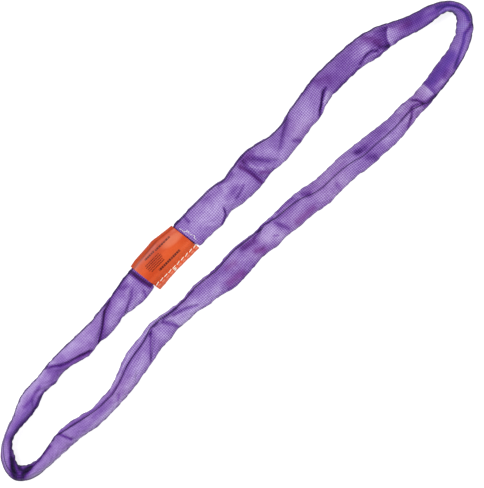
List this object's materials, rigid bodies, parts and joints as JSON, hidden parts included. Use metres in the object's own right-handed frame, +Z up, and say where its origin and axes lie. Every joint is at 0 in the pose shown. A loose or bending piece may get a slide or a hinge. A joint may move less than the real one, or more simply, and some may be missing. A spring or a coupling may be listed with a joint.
{
  "type": "round sling",
  "caption": "Endless round lifting sling: violet tubular fabric cover over a yarn core, laid out as a long narrow loop, with an orange sewn tag wrapped round one leg.",
  "frame": {"origin": "middle of the laid-out loop, on the surface it rests on", "axes": "+Z up from the resting surface, +X along the loop towards the end away from the tag, +Y across the loop towards the tagged leg"},
  "size_m": [0.9152, 0.1474, 0.033],
  "materials": {
    "cover": "woven polyester, semi-matte",
    "liner": "woven polyester, matte",
    "core_yarn": "slack filament yarn",
    "tag": "coated, satin",
    "tag_thread": "twisted thread",
    "closure_thread": "twisted thread"
  },
  "bodies": {
    "end_a": {"cover_end_a": "cover", "liner_end_a": "liner", "core_end_a": "core_yarn"},
    "section_2": {"cover_tag_leg_2": "cover", "liner_tag_leg_2": "liner", "core_tag_leg_2": "core_yarn", "cover_far_leg_2": "cover", "liner_far_leg_2": "liner", "core_far_leg_2": "core_yarn"},
    "section_3": {"cover_tag_leg_3": "cover", "liner_tag_leg_3": "liner", "core_tag_leg_3": "core_yarn", "cover_far_leg_3": "cover", "liner_far_leg_3": "liner", "core_far_leg_3": "core_yarn"},
    "section_4": {"cover_tag_leg_4": "cover", "liner_tag_leg_4": "liner", "core_tag_leg_4": "core_yarn", "cover_far_leg_4": "cover", "liner_far_leg_4": "liner", "core_far_leg_4": "core_yarn", "tag_wrap": "tag", "tag_needle_thread": "tag_thread", "tag_bobbin_thread": "tag_thread", "cover_lap": "cover", "closure_stitch": "closure_thread"},
    "section_5": {"cover_tag_leg_5": "cover", "liner_tag_leg_5": "liner", "core_tag_leg_5": "core_yarn", "cover_far_leg_5": "cover", "liner_far_leg_5": "liner", "core_far_leg_5": "core_yarn"},
    "section_6": {"cover_tag_leg_6": "cover", "liner_tag_leg_6": "liner", "core_tag_leg_6": "core_yarn", "cover_far_leg_6": "cover", "liner_far_leg_6": "liner", "core_far_leg_6": "core_yarn"},
    "section_7": {"cover_tag_leg_7": "cover", "liner_tag_leg_7": "liner", "core_tag_leg_7": "core_yarn", "cover_far_leg_7": "cover", "liner_far_leg_7": "liner", "core_far_leg_7": "core_yarn"},
    "end_b": {"cover_end_b": "cover", "liner_end_b": "liner", "core_end_b": "core_yarn"}
  },
  "joints": [
    {"name": "fold_3", "type": "hinge", "parent": "section_4", "child": "section_3", "pos_m": [-0.16, 0, 0.0086], "axis": [0, 1, 0], "range_deg": [-40, 40], "stiffness_Nm_per_rad": 0.02},
    {"name": "fold_2", "type": "hinge", "parent": "section_3", "child": "section_2", "pos_m": [-0.268, 0, 0.0102], "axis": [0, 1, 0], "range_deg": [-40, 40], "stiffness_Nm_per_rad": 0.02},
    {"name": "fold_1", "type": "hinge", "parent": "section_2", "child": "end_a", "pos_m": [-0.375, 0, 0.0122], "axis": [0, 1, 0], "range_deg": [-40, 40], "stiffness_Nm_per_rad": 0.02},
    {"name": "fold_4", "type": "hinge", "parent": "section_4", "child": "section_5", "pos_m": [0, 0, 0.009], "axis": [0, -1, 0], "range_deg": [-40, 40], "stiffness_Nm_per_rad": 0.02},
    {"name": "fold_5", "type": "hinge", "parent": "section_5", "child": "section_6", "pos_m": [0.115, 0, 0.0101], "axis": [0, -1, 0], "range_deg": [-40, 40], "stiffness_Nm_per_rad": 0.02},
    {"name": "fold_6", "type": "hinge", "parent": "section_6", "child": "section_7", "pos_m": [0.23, 0, 0.0103], "axis": [0, -1, 0], "range_deg": [-40, 40], "stiffness_Nm_per_rad": 0.02},
    {"name": "fold_7", "type": "hinge", "parent": "section_7", "child": "end_b", "pos_m": [0.345, 0, 0.0115], "axis": [0, -1, 0], "range_deg": [-40, 40], "stiffness_Nm_per_rad": 0.02}
  ]
}
